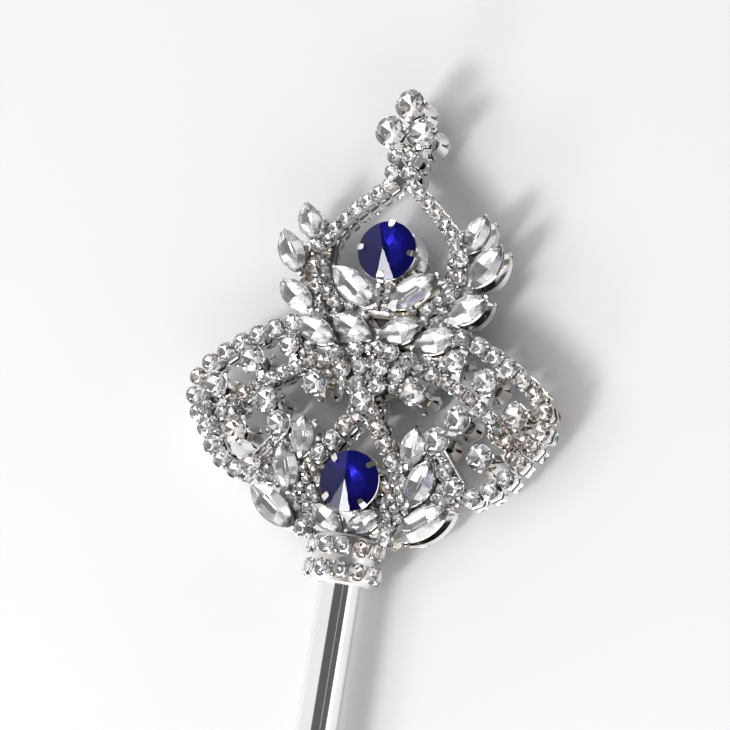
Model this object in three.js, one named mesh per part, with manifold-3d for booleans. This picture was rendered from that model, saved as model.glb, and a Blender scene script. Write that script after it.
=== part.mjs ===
// A pageant sceptre: a plain plated tube that carries a crown-shaped openwork head, made of two
// identical jewelled panels soldered back to back. Millimetres. It lies on its back: X across the
// head, Y along the rod towards the tip, Z up out of the front panel.
import * as THREE from "three";
import { mergeVertices } from "three/addons/utils/BufferGeometryUtils.js";
import Module from "manifold-3d";

const wasm = await Module();
wasm.setup();

// Rod, and the turned knob that closes its lower end
const rodDiameter = 10;
const rodWall = 1;
const rodLength = 285;
const knobDiameter = 20.6;
const knobFloor = 5;
const knobBand = 6;
const knobShoulder = 5;
const knobNeckDiameter = 13;
const knobNeckLength = 3;
const fit = 0.3;

// Collar, with its two rings of stones
const collarWall = 1.9;
const collarCap = 1.4;
const collarStoneDiameter = 4.2;
const collarStoneRise = 2.6;
const collarStoneGap = 0.3;
const collarRowSpacing = 5.5;
const collarMargin = 3;
const collarStoneGirdle = 1.7;

// Panels: heights are taken from the middle plane, where the two panels meet
const halfJoint = 0.15;
const barHeight = 1.5;
const strandHeight = 3.3;
const strandWidth = 3.2;
const barWidth = 2.2;
const footBar = { length: 16, width: 3 };
const spineWidth = 5;
const seatBarLength = 19;
const armWidth = 3;

// Stones and their cups: heights of the girdle and of the top above the middle plane
const rivoli = { diameter: 14.6, seat: 4.7, girdle: 5.4, top: 8.4 };
const rivoliRim = 0.3;
const lobeStone = { diameter: 6.4, girdle: 5.9, top: 7.3 };
const smallStone = { diameter: 5.2, girdle: 4.9, top: 6.1 };
const chainStone = { diameter: 4.3, top: 4.4 };
const neckStone = { diameter: 3.8, top: 6 };
const finialStone = { diameter: 7.7, girdle: 5.4, top: 7.2 };
const finialGap = 0.3;
const chainGap = 0.4;
const chainNotch = 0.9;
const cupTaper = 0.72;
const tableShare = 0.55;
const leaf = { length: 12, width: 6.4, top: 6 };
const shortLeaf = { length: 10.8, width: 5.9, top: 6 };
const broadLeaf = { length: 13, width: 6.5, top: 6.4 };
const petalLeaf = { length: 15.4, width: 7, top: 6.4 };
const wingLeaf = { length: 16, width: 6.8, top: 6.6 };
const footLeaf = { length: 10.4, width: 5.2, top: 5.6 };
const leafBevel = 1.2;
const petalGap = 0.7;
const petalSlope = 38;
const petalSlide = 0.2;

// Heights of the main stones up the head, above the rod's seat under the collar
const collarBottom = 3.6;
const lowerRivoliY = 27.6;
const upperRivoliY = 83.4;
const ogeeY = 46.6;
const finialY = 112.8;

const finish = {
  silver: { color: 0xd8dade, metalness: 1, roughness: 0.16 },
  crystal: { color: 0xeef1f4, metalness: 0.35, roughness: 0.06 },
  blue: { color: 0x15129a, metalness: 0.2, roughness: 0.05 },
};

const rodRadius = rodDiameter / 2;
const boreRadius = rodRadius + fit;
const collarRadius = boreRadius + collarWall;
const collarLength = collarMargin + collarRowSpacing + collarMargin;
const collarTop = collarBottom + collarLength;
const rodTop = collarTop - collarCap - fit;
const rodBottom = rodTop - rodLength;
const barTop = halfJoint + barHeight;
const stoneSeat = barTop + fit;
const aboveAll = rivoli.top + knobDiameter;

// The collar's stones stand in an even number round it, two of them side by side underneath,
// and the sceptre lies on those and on the knob's flat spot.
const collarStonePitch = collarStoneDiameter + collarStoneGap;
const collarGirth = 2 * Math.PI * (collarRadius + collarStoneGirdle);
const collarStoneCount = 2 * Math.floor(collarGirth / collarStonePitch / 2);
const restHeight = (collarRadius + collarStoneRise) * Math.cos(Math.PI / collarStoneCount);

const at = (x, y) => new THREE.Vector2(x, y);
const mirrored = (point, side) => at(point.x * side, point.y);
const bothSides = (edge) => [...edge, ...edge.map((point) => mirrored(point, -1)).reverse()];

// From a closed geometry to a solid for booleans, and back.
function toSolid(geometry) {
  const bare = geometry.index ? geometry.toNonIndexed() : geometry.clone();
  bare.deleteAttribute("normal");
  bare.deleteAttribute("uv");
  const merged = mergeVertices(bare, 1e-4);
  const vertProperties = merged.attributes.position.array;
  const triVerts = new Uint32Array(merged.index.array);
  return new wasm.Manifold(new wasm.Mesh({ numProp: 3, vertProperties, triVerts }));
}

function toGeometry(solid) {
  const mesh = solid.getMesh();
  const geometry = new THREE.BufferGeometry();
  const position = new THREE.BufferAttribute(mesh.vertProperties, mesh.numProp);
  geometry.setAttribute("position", position);
  geometry.setIndex(new THREE.BufferAttribute(mesh.triVerts, 1));
  return geometry;
}

function joined(geometries) {
  return geometries.map(toSolid).reduce((whole, piece) => whole.add(piece));
}

function turned(profile, sides) {
  const points = profile.map(([radius, height]) => at(radius, height));
  return new THREE.LatheGeometry(points, sides);
}

// A flat plate with the given outline between two heights above the middle plane.
function plate(outline, bottom, top) {
  const options = { depth: top - bottom, bevelEnabled: false };
  return new THREE.ExtrudeGeometry(new THREE.Shape(outline), options).translate(0, 0, bottom);
}

// A strip of plate of even width that follows a curve through the points.
function strip(points, width, top) {
  const curve = new THREE.SplineCurve(points);
  const steps = points.length - 1;
  const near = [];
  const far = [];
  for (let i = 0; i <= steps; i++) {
    const centre = curve.getPointAt(i / steps);
    const along = curve.getTangentAt(i / steps);
    const aside = at(-along.y, along.x).multiplyScalar(width / 2);
    near.push(centre.clone().add(aside));
    far.unshift(centre.clone().sub(aside));
  }
  return plate([...near, ...far], halfJoint, top);
}

// A row of touching cups seen as one strip: full width at each stone and a notch between two.
function beading(points, stone, pitch = stone.diameter + chainGap) {
  const curve = new THREE.SplineCurve(points);
  const count = Math.round(curve.getLength() / pitch);
  const near = [];
  const far = [];
  for (let i = 0; i <= 2 * count; i++) {
    const half = stone.diameter / 2 - (i % 2 ? 0 : chainNotch);
    const share = i / (2 * count);
    const centre = curve.getPointAt(share);
    const along = curve.getTangentAt(share);
    near.push(at(centre.x - along.y * half, centre.y + along.x * half));
    far.unshift(at(centre.x + along.y * half, centre.y - along.x * half));
  }
  return plate([...near, ...far], halfJoint, stone.top);
}

function bar(from, to, width = barWidth) {
  return strip([from, to], width, barTop);
}

// A round stone in a cup that widens up to its girdle, standing along Z.
function cupStone(centre, stone, bottom, sides, table = tableShare) {
  const radius = stone.diameter / 2;
  const crown = table > 0 ? [[radius * table, stone.top]] : [];
  const outer = [
    [0, bottom],
    [radius * cupTaper, bottom],
    [radius, stone.girdle],
    ...crown,
    [0, stone.top],
  ];
  return turned(outer, sides).rotateX(Math.PI / 2).translate(centre.x, centre.y, 0);
}

// The pointed oval of a marquise: two equal arcs that meet at the tips, three steps each.
function marquise(length, width) {
  const half = length / 2;
  const depth = width / 2;
  const radius = (half * half + depth * depth) / (2 * depth);
  const sweep = Math.asin(half / radius);
  const outline = [];
  for (const side of [1, -1]) {
    for (let i = 0; i < 3; i++) {
      const angle = sweep * (1 - (2 * i) / 3);
      const y = radius * Math.cos(angle) - (radius - depth);
      outline.push(at(side * radius * Math.sin(angle), side * y));
    }
  }
  return outline;
}

function leafStone(leafAt, bottom) {
  const { size } = leafAt;
  const options = {
    depth: size.top - bottom - 2 * leafBevel,
    bevelSize: leafBevel,
    bevelThickness: leafBevel,
    bevelOffset: -leafBevel,
    bevelSegments: 1,
  };
  const shape = new THREE.Shape(marquise(size.length, size.width));
  return new THREE.ExtrudeGeometry(shape, options)
    .translate(0, 0, bottom + leafBevel)
    .rotateZ(leafAt.turn)
    .translate(leafAt.centre.x, leafAt.centre.y, 0);
}

// The room that a loose stone needs in the panel, above its bars.
function leafRoom(leafAt) {
  const { size } = leafAt;
  const outline = marquise(size.length + 3 * fit, size.width + 2 * fit);
  return plate(outline, barTop, aboveAll)
    .rotateZ(leafAt.turn)
    .translate(leafAt.centre.x, leafAt.centre.y, 0);
}

// Where a leaf lies on one side of the panel, from its inner tip and its slope in degrees.
function leafFromTip(name, tip, degrees, size) {
  const slope = THREE.MathUtils.degToRad(degrees);
  const reach = size.length / 2;
  const centre = at(tip.x + reach * Math.cos(slope), tip.y + reach * Math.sin(slope));
  return { name, centre, slope, size };
}

// A lotus petal touches the upper blue stone's rim and leans away from it.
function lotusPetal() {
  const slope = THREE.MathUtils.degToRad(petalSlope);
  const reach = rivoli.diameter / 2 + rivoliRim + petalGap + petalLeaf.width / 2;
  const centre = at(
    reach * Math.sin(slope) + petalSlide * Math.cos(slope),
    upperRivoliY - reach * Math.cos(slope) + petalSlide * Math.sin(slope),
  );
  return { name: "lotus_petal", centre, slope, size: petalLeaf };
}

const halfLeaves = [
  leafFromTip("crown_leaf_high", at(19.2, 84.2), 68, shortLeaf),
  leafFromTip("crown_leaf_middle", at(21.4, 76), 59, broadLeaf),
  leafFromTip("crown_leaf_low", at(16.8, 67.3), 37, leaf),
  lotusPetal(),
  leafFromTip("waist_leaf_inner", at(0.5, 61.9), 24, leaf),
  leafFromTip("waist_leaf_outer", at(9.6, 60.4), 24, leaf),
  leafFromTip("bough_leaf_high", at(13.4, 31.6), 84, shortLeaf),
  leafFromTip("bough_leaf_middle", at(14.9, 22.8), 72, broadLeaf),
  leafFromTip("bough_leaf_wing", at(12.3, 14.8), 37, wingLeaf),
  leafFromTip("foot_leaf", at(0.4, 15.4), 35, footLeaf),
];

function onSide(leafAt, side) {
  const { name, size } = leafAt;
  const turn = side > 0 ? leafAt.slope : Math.PI - leafAt.slope;
  return { name, size, turn, centre: mirrored(leafAt.centre, side) };
}

// Curves of the openwork on one side
const lobeEdge = [
  at(19.6, 64.9),
  at(26.5, 62.4),
  at(35.5, 57.3),
  at(43.2, 50.2),
  at(43.8, 43.2),
  at(39.6, 36.6),
  at(35.4, 30.4),
  at(27.8, 26.2),
];
const lobeVine = [at(7, 57), at(16, 54.8), at(24, 51), at(31, 46.2), at(36, 41), at(38.6, 36)];
const upperArch = [
  at(1.6, 101.4),
  at(6.9, 96.8),
  at(12.4, 91.6),
  at(15.8, 87),
  at(16.6, 80),
  at(14.6, 73),
  at(10.6, 69.2),
];
const lowerArch = [at(0.6, ogeeY), at(3, 42.4), at(5.7, 38.5), at(9.4, 33.4)];
const brace = [at(20.4, 37), at(28.4, 27)];

// Plates that the roots of the leaves and the smallest stones lie on
const crownRoots = [at(15, 89.5), at(21, 87), at(22.6, 80), at(20, 71), at(14, 70)];
const boughRoots = [
  at(7.4, 17),
  at(14.5, 17),
  at(18.6, 23),
  at(17.6, 32.5),
  at(13.6, 36),
  at(8.6, 34),
];
const pavementEdge = [at(0, 47.5), at(4, 51.2), at(16, 51.2), at(20, 60)];
const waistEdge = [at(10, 61), at(14, 66.5), at(9.5, 71)];
const waistHole = [at(0, 65.2), at(2.2, 67.6), at(-2.2, 67.6)];

// Lobe stones on one side, and the bars that run under them
const lobeHigh = at(29.5, 54);
const lobeTip = at(38, 46.8);
const lobeLow = at(31.1, 36.4);
const vineHigh = at(24.3, 44.6);
const vineLow = at(20, 39.1);
const hanging = at(12.5, 49.8);
const shoulder = at(21, 58.5);
const corner = at(25.6, 28.8);
const lobeStones = [lobeHigh, lobeTip, lobeLow, vineHigh, vineLow, hanging];
const smallStones = [shoulder, corner];
const lobeBars = [
  [at(33.4, 58.4), lobeHigh, at(28, 48.6), vineHigh, vineLow, at(15, 35)],
  [at(33.2, 44.6), lobeTip, at(43.4, 47.2)],
  [at(38.4, 38), lobeLow],
  [at(22.4, 63.4), shoulder, at(20.6, 52.8)],
];

function finialPlaces() {
  const step = finialStone.diameter + finialGap;
  return {
    finial_left: at(-step / 2, finialY),
    finial_right: at(step / 2, finialY),
    finial_top: at(0, finialY + step * Math.sin(Math.PI / 3)),
  };
}

function halfPanel(side) {
  const swap = (points) => points.map((point) => mirrored(point, side));
  const cupBottom = (halfJoint + barTop) / 2;
  return [
    beading(swap(lobeEdge), chainStone),
    beading(swap(lowerArch), chainStone),
    strip(swap(lobeVine), strandWidth, strandHeight),
    strip(swap(upperArch), strandWidth, strandHeight),
    strip(swap(brace), barWidth, strandHeight),
    plate(swap(crownRoots), halfJoint, barTop),
    plate(swap(boughRoots), halfJoint, barTop),
    ...lobeBars.map((points) => strip(swap(points), barWidth, barTop)),
    ...swap(lobeStones).map((place) => cupStone(place, lobeStone, cupBottom, 6)),
    ...swap(smallStones).map((place) => cupStone(place, smallStone, cupBottom, 6)),
  ];
}

// What lies on the panel's centre line: foot, waist, cups of the blue stones, neck and finial arms.
function panelSpine() {
  const finial = finialPlaces();
  const foot = collarTop + fit;
  const footY = foot + footBar.width / 2;
  const waistFoot = waistEdge[0].y - barWidth;
  const rim = rivoli.diameter / 2 + rivoliRim;
  const cupAround = (y) => {
    const profile = [
      [0, barTop / 2],
      [rim * cupTaper, barTop / 2],
      [rim, rivoli.seat - fit],
      [0, rivoli.seat - fit],
    ];
    return turned(profile, 10).rotateX(Math.PI / 2).translate(0, y, 0);
  };
  const neckWidth = 2 * neckStone.diameter + chainGap;
  const neckEnd = finialY - finialStone.diameter / 2 - 2 * fit;
  const neck = [at(0, neckEnd - 2 * (neckStone.diameter + chainGap)), at(0, neckEnd)];
  return [
    bar(at(-footBar.length / 2, footY), at(footBar.length / 2, footY), footBar.width),
    bar(at(0, foot), at(0, lowerRivoliY), spineWidth),
    bar(at(-seatBarLength / 2, lowerRivoliY), at(seatBarLength / 2, lowerRivoliY)),
    bar(at(0, waistFoot), at(0, upperRivoliY), spineWidth),
    plate(bothSides(waistEdge), halfJoint, barTop),
    plate(bothSides(pavementEdge), halfJoint, strandHeight),
    cupAround(lowerRivoliY),
    cupAround(upperRivoliY),
    cupStone(at(0, ogeeY), lobeStone, barTop / 2, 6),
    beading(neck, { diameter: neckWidth, top: neckStone.top }, neckStone.diameter + chainGap),
    bar(neck[0], finial.finial_top, armWidth),
    bar(finial.finial_left, finial.finial_right, armWidth),
  ];
}

function buildPanel(leaves) {
  const whole = joined([...panelSpine(), ...halfPanel(1), ...halfPanel(-1)]);
  const hole = plate(waistHole, -barTop, aboveAll);
  const rooms = [hole, ...leaves.map(leafRoom)].map(toSolid);
  return toGeometry(rooms.reduce((left, room) => left.subtract(room), whole));
}

function named(name, geometry, look) {
  const mesh = new THREE.Mesh(geometry, new THREE.MeshStandardMaterial(finish[look]));
  mesh.name = name;
  return mesh;
}

// One panel with its loose stones; the back one is the same panel turned over.
function panel(face) {
  const group = new THREE.Group();
  const leaves = [1, -1].flatMap((side) => halfLeaves.map((leafAt) => onSide(leafAt, side)));
  const finial = finialPlaces();
  group.add(named("panel_" + face, buildPanel(leaves), "silver"));
  leaves.forEach((leafAt, i) => {
    const hand = i < halfLeaves.length ? "right" : "left";
    const name = [leafAt.name, hand, face].join("_");
    group.add(named(name, leafStone(leafAt, stoneSeat), "crystal"));
  });
  for (const [name, place] of Object.entries(finial)) {
    const stone = cupStone(place, finialStone, stoneSeat, 8);
    group.add(named(name + "_" + face, stone, "crystal"));
  }
  for (const [name, y] of [
    ["blue_lower", lowerRivoliY],
    ["blue_upper", upperRivoliY],
  ]) {
    const radius = rivoli.diameter / 2;
    const cone = [
      [0, rivoli.seat],
      [radius - rivoliRim, rivoli.seat],
      [radius, rivoli.girdle],
      [0, rivoli.top],
    ];
    const stone = turned(cone, 12).rotateX(Math.PI / 2).translate(0, y, 0);
    group.add(named(name + "_" + face, stone, "blue"));
  }
  group.rotation.y = face === "back" ? Math.PI : 0;
  return group;
}

function rod() {
  const inner = rodRadius - rodWall;
  const section = [
    [inner, rodBottom],
    [rodRadius, rodBottom],
    [rodRadius, rodTop],
    [inner, rodTop],
    [inner, rodBottom],
  ];
  return named("rod", turned(section, 18), "silver");
}

// A flattened ball with a plain band and a short neck, and a flat spot that stops it rolling.
function endKnob() {
  const floor = rodBottom - fit;
  const start = floor - knobFloor;
  const radius = knobDiameter / 2;
  const neckRadius = knobNeckDiameter / 2;
  const neckStart = start + 2 * knobShoulder + knobBand;
  const profile = [[0, start]];
  for (let i = 1; i <= 3; i++) {
    const angle = (i / 3) * (Math.PI / 2);
    profile.push([radius * Math.sin(angle), start + knobShoulder * (1 - Math.cos(angle))]);
  }
  for (let i = 0; i <= 2; i++) {
    const angle = (i / 2) * (Math.PI / 2);
    const swell = neckRadius + (radius - neckRadius) * Math.cos(angle);
    profile.push([swell, neckStart - knobShoulder + knobShoulder * Math.sin(angle)]);
  }
  profile.push([neckRadius, neckStart + knobNeckLength]);
  profile.push([boreRadius, neckStart + knobNeckLength]);
  profile.push([boreRadius, floor]);
  profile.push([0, floor]);
  const below = new THREE.BoxGeometry(knobDiameter, 4 * knobDiameter, knobDiameter)
    .translate(0, start, -restHeight - knobDiameter / 2);
  const solid = toSolid(turned(profile, 16)).subtract(toSolid(below));
  return named("end_knob", toGeometry(solid), "silver");
}

// The sleeve has one flat for each stone of a row, inside and out.
function collar() {
  const bore = boreRadius / Math.cos(Math.PI / collarStoneCount);
  const sleeve = turned(
    [
      [0, collarTop - collarCap],
      [bore, collarTop - collarCap],
      [bore, collarBottom],
      [collarRadius, collarBottom],
      [collarRadius, collarTop],
      [0, collarTop],
    ],
    collarStoneCount,
  );
  const stone = {
    diameter: collarStoneDiameter,
    girdle: collarRadius + collarStoneGirdle,
    top: collarRadius + collarStoneRise,
  };
  const stones = [];
  for (let row = 0; row < 2; row++) {
    for (let i = 0; i < collarStoneCount; i++) {
      const turn = ((i + 0.5) / collarStoneCount) * 2 * Math.PI;
      const cup = cupStone(at(0, 0), stone, collarRadius - collarWall / 2, 6, 0);
      const y = collarBottom + collarMargin + row * collarRowSpacing;
      stones.push(cup.rotateY(turn).translate(0, y, 0));
    }
  }
  return named("collar", toGeometry(joined([sleeve, ...stones])), "silver");
}

const sceptre = new THREE.Group();
sceptre.add(rod(), endKnob(), collar(), panel("front"), panel("back"));

// The origin is under the middle of the whole length, on the surface that it lies on.
const tipY = finialPlaces().finial_top.y + finialStone.diameter / 2;
const buttY = rodBottom - fit - knobFloor;
sceptre.position.set(0, -(tipY + buttY) / 2, restHeight);

export default sceptre;
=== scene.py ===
import random
from math import asin, atan2, cos, hypot, pi, radians, sin, tau
import bmesh
import bpy
from mathutils import Matrix, Vector


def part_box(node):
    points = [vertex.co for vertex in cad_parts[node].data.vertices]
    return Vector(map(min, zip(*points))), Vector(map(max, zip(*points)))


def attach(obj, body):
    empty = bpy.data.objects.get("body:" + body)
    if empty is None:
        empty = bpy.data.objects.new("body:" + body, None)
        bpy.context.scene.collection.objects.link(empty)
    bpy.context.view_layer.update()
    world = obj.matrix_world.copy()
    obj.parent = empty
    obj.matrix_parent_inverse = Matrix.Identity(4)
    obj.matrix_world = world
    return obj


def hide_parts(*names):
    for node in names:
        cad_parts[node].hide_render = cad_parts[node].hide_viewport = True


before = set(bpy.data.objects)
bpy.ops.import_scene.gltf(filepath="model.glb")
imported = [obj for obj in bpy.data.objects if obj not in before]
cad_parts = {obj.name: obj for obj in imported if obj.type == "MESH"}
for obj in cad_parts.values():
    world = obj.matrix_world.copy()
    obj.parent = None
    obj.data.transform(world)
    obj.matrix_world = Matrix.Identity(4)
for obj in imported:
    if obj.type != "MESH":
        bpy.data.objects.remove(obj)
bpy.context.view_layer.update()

# View: the camera looks down on the lying head from its right and from a little below its
# waist, and is rolled so that the rod leans to the left. The head's own places are in
# millimetres from the foot of the collar's neck, on the plane where the two panels meet.
COLLAR_BOTTOM = 3.6
rod_low, rod_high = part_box("rod")
collar_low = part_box("collar")[0]
HEAD = Vector((0, collar_low.y - COLLAR_BOTTOM / 1000, (rod_low.z + rod_high.z) / 2))
on_row = Matrix.Translation(HEAD) @ Matrix.Scale(0.001, 4)

TURN, TILT, ROLL = radians(21.2), radians(9.45), radians(9.35)
FOCAL_PX, SCALE_PX, FRAME_PX = 2200, 4.27, 730
FOOT_PX = Vector((337.5, 600))
toward = Vector((sin(TURN) * cos(TILT), -sin(TILT), cos(TURN) * cos(TILT)))
level_up = (Vector((0, 1, 0)) - toward * toward.y).normalized()
level_right = level_up.cross(toward)
view_up = level_up * cos(ROLL) - level_right * sin(ROLL)
view_right = level_right * cos(ROLL) + level_up * sin(ROLL)
distance = FOCAL_PX / SCALE_PX
aside = (FOOT_PX - Vector((FRAME_PX / 2, FRAME_PX / 2))) / FOCAL_PX * distance
eye = on_row @ (toward * distance - view_right * aside.x + view_up * aside.y)
camera_data = bpy.data.cameras.new("camera")
camera_data.sensor_width = 36
camera_data.lens = 36 * FOCAL_PX / FRAME_PX
camera_data.clip_start = 0.01
camera = bpy.data.objects.new("camera", camera_data)
bpy.context.scene.collection.objects.link(camera)
camera.matrix_world = Matrix.Translation(eye) @ Matrix(
    (view_right, view_up, toward)).transposed().to_4x4()
bpy.context.scene.camera = camera
bpy.context.scene.view_settings.view_transform = "Standard"


# Rod: a drawn brass tube with bright silver plate, polished along its length. Its plate is
# almost a mirror, with a faint drift in its shine and the softest waviness.
def silver_plate(name, scale, roughest=0.13, waviness=0.04, warm=(0.86, 0.80, 0.72),
                 smoothest=0.03):
    """Silver plate whose shine drifts in clouds; its smoother clouds take the given tone, which on
    the bright plates is a painted warm reflection.
    """
    plate = bpy.data.materials.new(name)
    plate.use_nodes = True
    nodes, links = plate.node_tree.nodes, plate.node_tree.links
    shader = nodes["Principled BSDF"]
    shader.inputs["Metallic"].default_value = 1
    place = nodes.new("ShaderNodeTexCoord")
    cloud = nodes.new("ShaderNodeTexNoise")
    cloud.inputs["Scale"].default_value = scale
    cloud.inputs["Detail"].default_value = 3
    tone = nodes.new("ShaderNodeValToRGB")
    tone.color_ramp.elements[0].position = 0.34
    tone.color_ramp.elements[0].color = (*warm, 1)
    tone.color_ramp.elements[1].position = 0.52
    tone.color_ramp.elements[1].color = (0.93, 0.935, 0.94, 1)
    shine = nodes.new("ShaderNodeMapRange")
    shine.inputs["To Min"].default_value = smoothest
    shine.inputs["To Max"].default_value = roughest
    ripple = nodes.new("ShaderNodeTexNoise")
    ripple.inputs["Scale"].default_value = scale * 4
    bump = nodes.new("ShaderNodeBump")
    bump.inputs["Strength"].default_value = waviness
    bump.inputs["Distance"].default_value = 0.001
    links.new(place.outputs["Object"], cloud.inputs["Vector"])
    links.new(place.outputs["Object"], ripple.inputs["Vector"])
    links.new(cloud.outputs["Fac"], tone.inputs["Fac"])
    links.new(tone.outputs["Color"], shader.inputs["Base Color"])
    links.new(cloud.outputs["Fac"], shine.inputs["Value"])
    links.new(shine.outputs["Result"], shader.inputs["Roughness"])
    links.new(ripple.outputs["Fac"], bump.inputs["Height"])
    links.new(bump.outputs["Normal"], shader.inputs["Normal"])
    return plate


def finished(shape, name, finishes, slot, stands_for=(), smooth=None):
    """Closes the work on a shape: a piece in the row's frame that rides with the sceptre."""
    mesh = bpy.data.meshes.new(name)
    shape.to_mesh(mesh)
    shape.free()
    for finish in finishes:
        mesh.materials.append(finish)
    if smooth is not None:
        mesh.shade_smooth()
        mesh.set_sharp_from_angle(angle=radians(smooth))
    piece = bpy.data.objects.new(name, mesh)
    bpy.context.scene.collection.objects.link(piece)
    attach(piece, "root")
    if stands_for:
        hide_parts(*stands_for)
    return piece


def spun(profile, steps):
    """A closed body of revolution about Z from a profile that starts and ends on the axis."""
    shape = bmesh.new()
    spine = [shape.verts.new((radius, 0, height)) for radius, height in profile]
    edges = [shape.edges.new(pair) for pair in zip(spine, spine[1:])]
    bmesh.ops.spin(shape, geom=spine + edges, cent=(0, 0, 0), axis=(0, 0, 1), angle=tau,
                   steps=steps, use_merge=True)
    bmesh.ops.remove_doubles(shape, verts=shape.verts, dist=1e-4)
    bmesh.ops.recalc_face_normals(shape, faces=shape.faces)
    return shape


along_rod = Matrix.Rotation(-pi / 2, 4, "X")
rod_silver = silver_plate("rod_silver", scale=30, roughest=0.16, waviness=0.01,
                          warm=(0.92, 0.91, 0.90))
rod_span = (rod_high.y - rod_low.y) * 1000
rod_start = (rod_low.y - HEAD.y) * 1000
ROD_RADIUS, ROD_WALL, ROD_EDGE = 5.0, 1.0, 0.3
ROD_BORE = ROD_RADIUS - ROD_WALL
tube = spun([(ROD_BORE, ROD_EDGE), (ROD_BORE + ROD_EDGE, 0), (ROD_RADIUS - ROD_EDGE, 0),
             (ROD_RADIUS, ROD_EDGE), (ROD_RADIUS, rod_span - ROD_EDGE),
             (ROD_RADIUS - ROD_EDGE, rod_span), (ROD_BORE, rod_span), (ROD_BORE, ROD_EDGE)], 96)
tube.transform(on_row @ Matrix.Translation((0, rod_start, 0)) @ along_rod)
finished(tube, "rod_tube", [rod_silver], "silver", ["rod"], smooth=40)


# End knob: a turned and plated knob that closes the rod's lower end, with a plain band
# between two thin grooves, and a small flat underneath that it lies on.
KNOB_RADIUS, KNOB_NECK, KNOB_SHOULDER, KNOB_BAND, KNOB_FLOOR = 10.3, 6.5, 5.0, 6.0, 5.0
ARC_STEPS = 14
knob_low, knob_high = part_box("end_knob")
knob_start = (knob_low.y - HEAD.y) * 1000
knob_span = (knob_high.y - knob_low.y) * 1000
band_start, band_end = KNOB_SHOULDER, KNOB_SHOULDER + KNOB_BAND
knob_profile = [(0, 0)]
for step in range(1, ARC_STEPS + 1):
    angle = step / ARC_STEPS * pi / 2
    knob_profile.append((KNOB_RADIUS * sin(angle), KNOB_SHOULDER * (1 - cos(angle))))
for groove in (band_start + 0.9, band_end - 0.9):
    knob_profile += [(KNOB_RADIUS, groove - 0.45), (KNOB_RADIUS - 0.35, groove),
                     (KNOB_RADIUS, groove + 0.45)]
for step in range(ARC_STEPS + 1):
    angle = step / ARC_STEPS * pi / 2
    swell = KNOB_NECK + (KNOB_RADIUS - KNOB_NECK) * cos(angle)
    knob_profile.append((swell, band_end + KNOB_SHOULDER * sin(angle)))
knob_profile += [(KNOB_NECK, knob_span - 0.9), (KNOB_NECK + 0.35, knob_span - 0.5),
                 (KNOB_NECK, knob_span), (ROD_RADIUS + 0.3, knob_span),
                 (ROD_RADIUS + 0.3, KNOB_FLOOR), (0, KNOB_FLOOR)]
knob = spun(knob_profile, 80)
knob.transform(Matrix.Translation((0, knob_start, 0)) @ along_rod)
flat_z = (knob_low.z - HEAD.z) * 1000
cut = bmesh.ops.bisect_plane(knob, geom=knob.verts[:] + knob.edges[:] + knob.faces[:],
                             plane_co=(0, 0, flat_z), plane_no=(0, 0, -1), clear_outer=True)
bmesh.ops.contextual_create(knob, geom=[edge for edge in knob.edges if edge.is_boundary])
knob.transform(on_row)
finished(knob, "turned_knob", [rod_silver], "silver", ["end_knob"], smooth=35)


# Round stones: each is a cut crystal with a foil-backed point below its girdle. It sits in
# a small pressed cup whose four claws are bent over its crown.
crystal = bpy.data.materials.new("clear_crystal")
crystal.use_nodes = True
crystal_shader = crystal.node_tree.nodes["Principled BSDF"]
crystal_shader.inputs["Base Color"].default_value = (0.985, 0.99, 1.0, 1)
crystal_shader.inputs["Roughness"].default_value = 0.0
crystal_shader.inputs["IOR"].default_value = 1.56
crystal_shader.inputs["Transmission Weight"].default_value = 1
# The warm clouds in the stones' foil are painted warm glints.
foil = silver_plate("stone_foil", scale=90, roughest=0.2, waviness=0.0,
                    warm=(0.95, 0.87, 0.82), smoothest=0.07)
leaf_foil = silver_plate("leaf_foil", scale=60, roughest=0.28, waviness=0.0,
                         warm=(0.94, 0.93, 0.94), smoothest=0.12)
# The cups' warm clouds are painted warm reflection.
cup_silver = silver_plate("cup_silver", scale=70, roughest=0.12, waviness=0.03)
ON_CRYSTAL, ON_FOIL = 0, 1


def as_pattern(shape, name):
    """Keeps a finished shape as a mesh that is copied to each of its places."""
    bmesh.ops.recalc_face_normals(shape, faces=shape.faces)
    pattern = bpy.data.meshes.new(name)
    shape.to_mesh(pattern)
    shape.free()
    return pattern


def add_copy(shape, pattern, matrix):
    """Adds one copy of a pattern to a shape, at the place that the matrix gives."""
    moved = pattern.copy()
    moved.transform(matrix)
    shape.from_mesh(moved)
    bpy.data.meshes.remove(moved)


def ground(stone, normal, through):
    """Grinds one flat facet: what lies beyond the plane goes, and the cut is closed."""
    bmesh.ops.bisect_plane(stone, geom=stone.verts[:] + stone.edges[:] + stone.faces[:],
                           dist=1e-6, plane_co=through, plane_no=normal, clear_outer=True)
    rim = [edge for edge in stone.edges if edge.is_boundary]
    if rim:
        bmesh.ops.contextual_create(stone, geom=rim)


def cut_stone(stone, name):
    """A ground stone as a pattern, with foil behind the facets that face down."""
    bmesh.ops.recalc_face_normals(stone, faces=stone.faces)
    for face in stone.faces:
        face.material_index = ON_FOIL if face.normal.z < -0.2 else ON_CRYSTAL
    return as_pattern(stone, name)


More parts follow.
